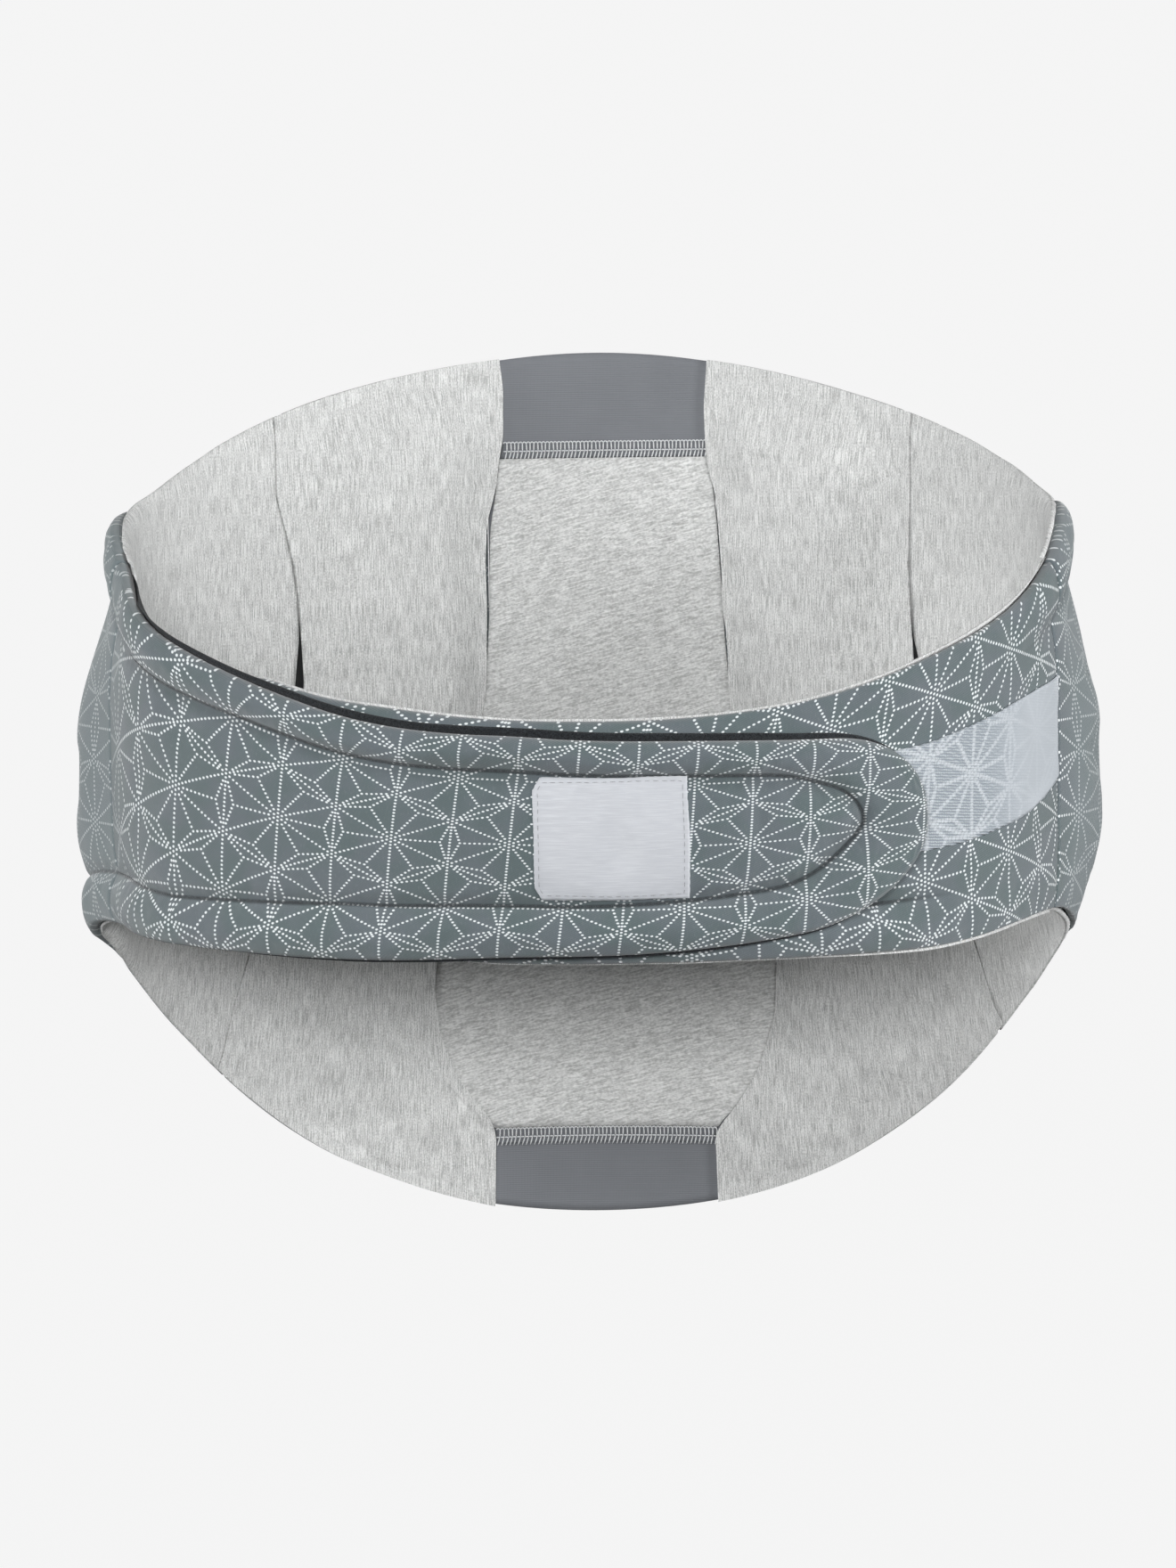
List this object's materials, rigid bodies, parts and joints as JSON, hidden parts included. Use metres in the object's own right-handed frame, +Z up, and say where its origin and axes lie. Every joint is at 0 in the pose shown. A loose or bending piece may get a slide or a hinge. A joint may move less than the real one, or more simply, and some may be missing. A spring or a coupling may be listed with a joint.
{
  "type": "maternity sleep belt",
  "caption": "Padded cloth belt worn round a pregnant waist, tall at the back with soft pads at the sides of the spine, closed in front by two overlapping straps with hook tape.",
  "frame": {"origin": "middle of the waist hollow at mid-height of the sides, where the belt sits on the wearer", "axes": "+X to the wearer's left, the picture's right, across the belt; +Y towards the back; +Z up along the body"},
  "size_m": [0.4008, 0.3243, 0.364],
  "materials": {
    "print": "grey stretch jersey with a light dotted star print",
    "jersey": "light heather grey cotton jersey",
    "loop": "dark brushed loop cloth that the hook tape grips",
    "stretch": "smooth dark grey stretch knit",
    "overlock": "overlocked seam edge",
    "hook": "translucent white hook tape",
    "satin": "white satin, left bare"
  },
  "bodies": {
    "root": {"back_stretch_panel": "stretch", "back_lining": "jersey", "overlock_top": "overlock", "overlock_bottom": "overlock", "left_strap": "print", "left_strap_lining": "loop", "left_wing": "print", "left_side_lining": "jersey", "left_pad": "jersey", "label": "satin", "right_strap": "print", "right_strap_lining": "jersey", "right_wing": "print", "right_side_lining": "jersey", "right_pad": "jersey", "hook_tape": "hook"}
  },
  "joints": []
}
